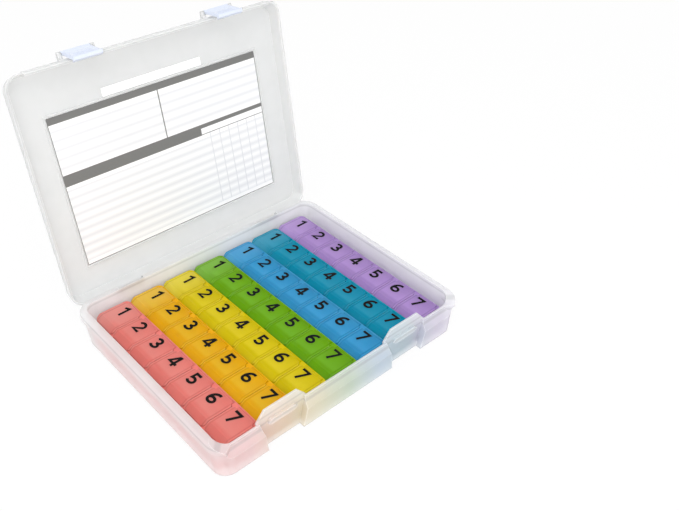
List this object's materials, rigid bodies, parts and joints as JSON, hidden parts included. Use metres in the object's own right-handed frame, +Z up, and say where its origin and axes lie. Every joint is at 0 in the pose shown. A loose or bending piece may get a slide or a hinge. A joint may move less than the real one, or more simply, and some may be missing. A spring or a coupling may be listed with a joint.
{
  "type": "weekly pill organizer",
  "caption": "Hinged translucent case holding coloured day trays side by side, each with numbered flip-up compartment lids and snap latches that shut the cover.",
  "frame": {"origin": "centre of the case's flat underside, on the table", "axes": "+X across the day trays from the first to the last day, +Y from the latch side to the hinge side, +Z up"},
  "size_m": [0.2568, 0.2537, 0.2358],
  "materials": {
    "case": "frosted translucent polypropylene, satin",
    "latch": "semi-gloss pale plastic",
    "sunday_strip": "clear tinted plastic, glossy",
    "monday_strip": "clear tinted plastic, glossy",
    "tuesday_strip": "clear tinted plastic, glossy",
    "wednesday_strip": "clear tinted plastic, glossy",
    "thursday_strip": "clear tinted plastic, glossy",
    "friday_strip": "clear tinted plastic, glossy",
    "saturday_strip": "clear tinted plastic, glossy"
  },
  "bodies": {
    "base": {"case_base": "case"},
    "cover": {"case_lid": "case"},
    "left_latch": {"left_latch": "latch"},
    "right_latch": {"right_latch": "latch"},
    "sunday_tray": {"sunday_tray": "sunday_strip"},
    "sunday_lid_1": {"sunday_lid_1": "sunday_strip"},
    "sunday_lid_2": {"sunday_lid_2": "sunday_strip"},
    "sunday_lid_3": {"sunday_lid_3": "sunday_strip"},
    "sunday_lid_4": {"sunday_lid_4": "sunday_strip"},
    "sunday_lid_5": {"sunday_lid_5": "sunday_strip"},
    "sunday_lid_6": {"sunday_lid_6": "sunday_strip"},
    "sunday_lid_7": {"sunday_lid_7": "sunday_strip"},
    "monday_tray": {"monday_tray": "monday_strip"},
    "monday_lid_1": {"monday_lid_1": "monday_strip"},
    "monday_lid_2": {"monday_lid_2": "monday_strip"},
    "monday_lid_3": {"monday_lid_3": "monday_strip"},
    "monday_lid_4": {"monday_lid_4": "monday_strip"},
    "monday_lid_5": {"monday_lid_5": "monday_strip"},
    "monday_lid_6": {"monday_lid_6": "monday_strip"},
    "monday_lid_7": {"monday_lid_7": "monday_strip"},
    "tuesday_tray": {"tuesday_tray": "tuesday_strip"},
    "tuesday_lid_1": {"tuesday_lid_1": "tuesday_strip"},
    "tuesday_lid_2": {"tuesday_lid_2": "tuesday_strip"},
    "tuesday_lid_3": {"tuesday_lid_3": "tuesday_strip"},
    "tuesday_lid_4": {"tuesday_lid_4": "tuesday_strip"},
    "tuesday_lid_5": {"tuesday_lid_5": "tuesday_strip"},
    "tuesday_lid_6": {"tuesday_lid_6": "tuesday_strip"},
    "tuesday_lid_7": {"tuesday_lid_7": "tuesday_strip"},
    "wednesday_tray": {"wednesday_tray": "wednesday_strip"},
    "wednesday_lid_1": {"wednesday_lid_1": "wednesday_strip"},
    "wednesday_lid_2": {"wednesday_lid_2": "wednesday_strip"},
    "wednesday_lid_3": {"wednesday_lid_3": "wednesday_strip"},
    "wednesday_lid_4": {"wednesday_lid_4": "wednesday_strip"},
    "wednesday_lid_5": {"wednesday_lid_5": "wednesday_strip"},
    "wednesday_lid_6": {"wednesday_lid_6": "wednesday_strip"},
    "wednesday_lid_7": {"wednesday_lid_7": "wednesday_strip"},
    "thursday_tray": {"thursday_tray": "thursday_strip"},
    "thursday_lid_1": {"thursday_lid_1": "thursday_strip"},
    "thursday_lid_2": {"thursday_lid_2": "thursday_strip"},
    "thursday_lid_3": {"thursday_lid_3": "thursday_strip"},
    "thursday_lid_4": {"thursday_lid_4": "thursday_strip"},
    "thursday_lid_5": {"thursday_lid_5": "thursday_strip"},
    "thursday_lid_6": {"thursday_lid_6": "thursday_strip"},
    "thursday_lid_7": {"thursday_lid_7": "thursday_strip"},
    "friday_tray": {"friday_tray": "friday_strip"},
    "friday_lid_1": {"friday_lid_1": "friday_strip"},
    "friday_lid_2": {"friday_lid_2": "friday_strip"},
    "friday_lid_3": {"friday_lid_3": "friday_strip"},
    "friday_lid_4": {"friday_lid_4": "friday_strip"},
    "friday_lid_5": {"friday_lid_5": "friday_strip"},
    "friday_lid_6": {"friday_lid_6": "friday_strip"},
    "friday_lid_7": {"friday_lid_7": "friday_strip"},
    "saturday_tray": {"saturday_tray": "saturday_strip"},
    "saturday_lid_1": {"saturday_lid_1": "saturday_strip"},
    "saturday_lid_2": {"saturday_lid_2": "saturday_strip"},
    "saturday_lid_3": {"saturday_lid_3": "saturday_strip"},
    "saturday_lid_4": {"saturday_lid_4": "saturday_strip"},
    "saturday_lid_5": {"saturday_lid_5": "saturday_strip"},
    "saturday_lid_6": {"saturday_lid_6": "saturday_strip"},
    "saturday_lid_7": {"saturday_lid_7": "saturday_strip"}
  },
  "joints": [
    {"name": "cover_hinge", "type": "hinge", "parent": "base", "child": "cover", "pos_m": [0, 0.10175, 0.0313], "axis": [-1, 0, 0], "range_deg": [-99.6, 0]},
    {"name": "left_latch_flip", "type": "hinge", "parent": "cover", "child": "left_latch", "pos_m": [-0.065, 0.14467, 0.23112], "axis": [-1, 0, 0], "range_deg": [-8, 112]},
    {"name": "right_latch_flip", "type": "hinge", "parent": "cover", "child": "right_latch", "pos_m": [0.065, 0.14467, 0.23112], "axis": [-1, 0, 0], "range_deg": [-8, 112]},
    {"name": "sunday_lift", "type": "slide", "parent": "base", "child": "sunday_tray", "axis": [0, 0, 1], "range_m": [0, 0.06]},
    {"name": "sunday_lid_1_flip", "type": "hinge", "parent": "sunday_tray", "child": "sunday_lid_1", "pos_m": [-0.085, 0.08085, 0.0216], "axis": [0, 1, 0], "range_deg": [0, 95]},
    {"name": "sunday_lid_2_flip", "type": "hinge", "parent": "sunday_tray", "child": "sunday_lid_2", "pos_m": [-0.085, 0.05435, 0.0216], "axis": [0, 1, 0], "range_deg": [0, 95]},
    {"name": "sunday_lid_3_flip", "type": "hinge", "parent": "sunday_tray", "child": "sunday_lid_3", "pos_m": [-0.085, 0.02785, 0.0216], "axis": [0, 1, 0], "range_deg": [0, 95]},
    {"name": "sunday_lid_4_flip", "type": "hinge", "parent": "sunday_tray", "child": "sunday_lid_4", "pos_m": [-0.085, 0.00135, 0.0216], "axis": [0, 1, 0], "range_deg": [0, 95]},
    {"name": "sunday_lid_5_flip", "type": "hinge", "parent": "sunday_tray", "child": "sunday_lid_5", "pos_m": [-0.085, -0.02515, 0.0216], "axis": [0, 1, 0], "range_deg": [0, 95]},
    {"name": "sunday_lid_6_flip", "type": "hinge", "parent": "sunday_tray", "child": "sunday_lid_6", "pos_m": [-0.085, -0.05165, 0.0216], "axis": [0, 1, 0], "range_deg": [0, 95]},
    {"name": "sunday_lid_7_flip", "type": "hinge", "parent": "sunday_tray", "child": "sunday_lid_7", "pos_m": [-0.085, -0.07815, 0.0216], "axis": [0, 1, 0], "range_deg": [0, 95]},
    {"name": "monday_lift", "type": "slide", "parent": "base", "child": "monday_tray", "axis": [0, 0, 1], "range_m": [0, 0.06]},
    {"name": "monday_lid_1_flip", "type": "hinge", "parent": "monday_tray", "child": "monday_lid_1", "pos_m": [-0.052, 0.08085, 0.0216], "axis": [0, 1, 0], "range_deg": [0, 95]},
    {"name": "monday_lid_2_flip", "type": "hinge", "parent": "monday_tray", "child": "monday_lid_2", "pos_m": [-0.052, 0.05435, 0.0216], "axis": [0, 1, 0], "range_deg": [0, 95]},
    {"name": "monday_lid_3_flip", "type": "hinge", "parent": "monday_tray", "child": "monday_lid_3", "pos_m": [-0.052, 0.02785, 0.0216], "axis": [0, 1, 0], "range_deg": [0, 95]},
    {"name": "monday_lid_4_flip", "type": "hinge", "parent": "monday_tray", "child": "monday_lid_4", "pos_m": [-0.052, 0.00135, 0.0216], "axis": [0, 1, 0], "range_deg": [0, 95]},
    {"name": "monday_lid_5_flip", "type": "hinge", "parent": "monday_tray", "child": "monday_lid_5", "pos_m": [-0.052, -0.02515, 0.0216], "axis": [0, 1, 0], "range_deg": [0, 95]},
    {"name": "monday_lid_6_flip", "type": "hinge", "parent": "monday_tray", "child": "monday_lid_6", "pos_m": [-0.052, -0.05165, 0.0216], "axis": [0, 1, 0], "range_deg": [0, 95]},
    {"name": "monday_lid_7_flip", "type": "hinge", "parent": "monday_tray", "child": "monday_lid_7", "pos_m": [-0.052, -0.07815, 0.0216], "axis": [0, 1, 0], "range_deg": [0, 95]},
    {"name": "tuesday_lift", "type": "slide", "parent": "base", "child": "tuesday_tray", "axis": [0, 0, 1], "range_m": [0, 0.06]},
    {"name": "tuesday_lid_1_flip", "type": "hinge", "parent": "tuesday_tray", "child": "tuesday_lid_1", "pos_m": [-0.019, 0.08085, 0.0216], "axis": [0, 1, 0], "range_deg": [0, 95]},
    {"name": "tuesday_lid_2_flip", "type": "hinge", "parent": "tuesday_tray", "child": "tuesday_lid_2", "pos_m": [-0.019, 0.05435, 0.0216], "axis": [0, 1, 0], "range_deg": [0, 95]},
    {"name": "tuesday_lid_3_flip", "type": "hinge", "parent": "tuesday_tray", "child": "tuesday_lid_3", "pos_m": [-0.019, 0.02785, 0.0216], "axis": [0, 1, 0], "range_deg": [0, 95]},
    {"name": "tuesday_lid_4_flip", "type": "hinge", "parent": "tuesday_tray", "child": "tuesday_lid_4", "pos_m": [-0.019, 0.00135, 0.0216], "axis": [0, 1, 0], "range_deg": [0, 95]},
    {"name": "tuesday_lid_5_flip", "type": "hinge", "parent": "tuesday_tray", "child": "tuesday_lid_5", "pos_m": [-0.019, -0.02515, 0.0216], "axis": [0, 1, 0], "range_deg": [0, 95]},
    {"name": "tuesday_lid_6_flip", "type": "hinge", "parent": "tuesday_tray", "child": "tuesday_lid_6", "pos_m": [-0.019, -0.05165, 0.0216], "axis": [0, 1, 0], "range_deg": [0, 95]},
    {"name": "tuesday_lid_7_flip", "type": "hinge", "parent": "tuesday_tray", "child": "tuesday_lid_7", "pos_m": [-0.019, -0.07815, 0.0216], "axis": [0, 1, 0], "range_deg": [0, 95]},
    {"name": "wednesday_lift", "type": "slide", "parent": "base", "child": "wednesday_tray", "axis": [0, 0, 1], "range_m": [0, 0.06]},
    {"name": "wednesday_lid_1_flip", "type": "hinge", "parent": "wednesday_tray", "child": "wednesday_lid_1", "pos_m": [0.014, 0.08085, 0.0216], "axis": [0, 1, 0], "range_deg": [0, 95]},
    {"name": "wednesday_lid_2_flip", "type": "hinge", "parent": "wednesday_tray", "child": "wednesday_lid_2", "pos_m": [0.014, 0.05435, 0.0216], "axis": [0, 1, 0], "range_deg": [0, 95]},
    {"name": "wednesday_lid_3_flip", "type": "hinge", "parent": "wednesday_tray", "child": "wednesday_lid_3", "pos_m": [0.014, 0.02785, 0.0216], "axis": [0, 1, 0], "range_deg": [0, 95]},
    {"name": "wednesday_lid_4_flip", "type": "hinge", "parent": "wednesday_tray", "child": "wednesday_lid_4", "pos_m": [0.014, 0.00135, 0.0216], "axis": [0, 1, 0], "range_deg": [0, 95]},
    {"name": "wednesday_lid_5_flip", "type": "hinge", "parent": "wednesday_tray", "child": "wednesday_lid_5", "pos_m": [0.014, -0.02515, 0.0216], "axis": [0, 1, 0], "range_deg": [0, 95]},
    {"name": "wednesday_lid_6_flip", "type": "hinge", "parent": "wednesday_tray", "child": "wednesday_lid_6", "pos_m": [0.014, -0.05165, 0.0216], "axis": [0, 1, 0], "range_deg": [0, 95]},
    {"name": "wednesday_lid_7_flip", "type": "hinge", "parent": "wednesday_tray", "child": "wednesday_lid_7", "pos_m": [0.014, -0.07815, 0.0216], "axis": [0, 1, 0], "range_deg": [0, 95]},
    {"name": "thursday_lift", "type": "slide", "parent": "base", "child": "thursday_tray", "axis": [0, 0, 1], "range_m": [0, 0.06]},
    {"name": "thursday_lid_1_flip", "type": "hinge", "parent": "thursday_tray", "child": "thursday_lid_1", "pos_m": [0.047, 0.08085, 0.0216], "axis": [0, 1, 0], "range_deg": [0, 95]},
    {"name": "thursday_lid_2_flip", "type": "hinge", "parent": "thursday_tray", "child": "thursday_lid_2", "pos_m": [0.047, 0.05435, 0.0216], "axis": [0, 1, 0], "range_deg": [0, 95]},
    {"name": "thursday_lid_3_flip", "type": "hinge", "parent": "thursday_tray", "child": "thursday_lid_3", "pos_m": [0.047, 0.02785, 0.0216], "axis": [0, 1, 0], "range_deg": [0, 95]},
    {"name": "thursday_lid_4_flip", "type": "hinge", "parent": "thursday_tray", "child": "thursday_lid_4", "pos_m": [0.047, 0.00135, 0.0216], "axis": [0, 1, 0], "range_deg": [0, 95]},
    {"name": "thursday_lid_5_flip", "type": "hinge", "parent": "thursday_tray", "child": "thursday_lid_5", "pos_m": [0.047, -0.02515, 0.0216], "axis": [0, 1, 0], "range_deg": [0, 95]},
    {"name": "thursday_lid_6_flip", "type": "hinge", "parent": "thursday_tray", "child": "thursday_lid_6", "pos_m": [0.047, -0.05165, 0.0216], "axis": [0, 1, 0], "range_deg": [0, 95]},
    {"name": "thursday_lid_7_flip", "type": "hinge", "parent": "thursday_tray", "child": "thursday_lid_7", "pos_m": [0.047, -0.07815, 0.0216], "axis": [0, 1, 0], "range_deg": [0, 95]},
    {"name": "friday_lift", "type": "slide", "parent": "base", "child": "friday_tray", "axis": [0, 0, 1], "range_m": [0, 0.06]},
    {"name": "friday_lid_1_flip", "type": "hinge", "parent": "friday_tray", "child": "friday_lid_1", "pos_m": [0.08, 0.08085, 0.0216], "axis": [0, 1, 0], "range_deg": [0, 95]},
    {"name": "friday_lid_2_flip", "type": "hinge", "parent": "friday_tray", "child": "friday_lid_2", "pos_m": [0.08, 0.05435, 0.0216], "axis": [0, 1, 0], "range_deg": [0, 95]},
    {"name": "friday_lid_3_flip", "type": "hinge", "parent": "friday_tray", "child": "friday_lid_3", "pos_m": [0.08, 0.02785, 0.0216], "axis": [0, 1, 0], "range_deg": [0, 95]},
    {"name": "friday_lid_4_flip", "type": "hinge", "parent": "friday_tray", "child": "friday_lid_4", "pos_m": [0.08, 0.00135, 0.0216], "axis": [0, 1, 0], "range_deg": [0, 95]},
    {"name": "friday_lid_5_flip", "type": "hinge", "parent": "friday_tray", "child": "friday_lid_5", "pos_m": [0.08, -0.02515, 0.0216], "axis": [0, 1, 0], "range_deg": [0, 95]},
    {"name": "friday_lid_6_flip", "type": "hinge", "parent": "friday_tray", "child": "friday_lid_6", "pos_m": [0.08, -0.05165, 0.0216], "axis": [0, 1, 0], "range_deg": [0, 95]},
    {"name": "friday_lid_7_flip", "type": "hinge", "parent": "friday_tray", "child": "friday_lid_7", "pos_m": [0.08, -0.07815, 0.0216], "axis": [0, 1, 0], "range_deg": [0, 95]},
    {"name": "saturday_lift", "type": "slide", "parent": "base", "child": "saturday_tray", "axis": [0, 0, 1], "range_m": [0, 0.06]},
    {"name": "saturday_lid_1_flip", "type": "hinge", "parent": "saturday_tray", "child": "saturday_lid_1", "pos_m": [0.113, 0.08085, 0.0216], "axis": [0, 1, 0], "range_deg": [0, 95]},
    {"name": "saturday_lid_2_flip", "type": "hinge", "parent": "saturday_tray", "child": "saturday_lid_2", "pos_m": [0.113, 0.05435, 0.0216], "axis": [0, 1, 0], "range_deg": [0, 95]},
    {"name": "saturday_lid_3_flip", "type": "hinge", "parent": "saturday_tray", "child": "saturday_lid_3", "pos_m": [0.113, 0.02785, 0.0216], "axis": [0, 1, 0], "range_deg": [0, 95]},
    {"name": "saturday_lid_4_flip", "type": "hinge", "parent": "saturday_tray", "child": "saturday_lid_4", "pos_m": [0.113, 0.00135, 0.0216], "axis": [0, 1, 0], "range_deg": [0, 95]},
    {"name": "saturday_lid_5_flip", "type": "hinge", "parent": "saturday_tray", "child": "saturday_lid_5", "pos_m": [0.113, -0.02515, 0.0216], "axis": [0, 1, 0], "range_deg": [0, 95]},
    {"name": "saturday_lid_6_flip", "type": "hinge", "parent": "saturday_tray", "child": "saturday_lid_6", "pos_m": [0.113, -0.05165, 0.0216], "axis": [0, 1, 0], "range_deg": [0, 95]},
    {"name": "saturday_lid_7_flip", "type": "hinge", "parent": "saturday_tray", "child": "saturday_lid_7", "pos_m": [0.113, -0.07815, 0.0216], "axis": [0, 1, 0], "range_deg": [0, 95]}
  ]
}
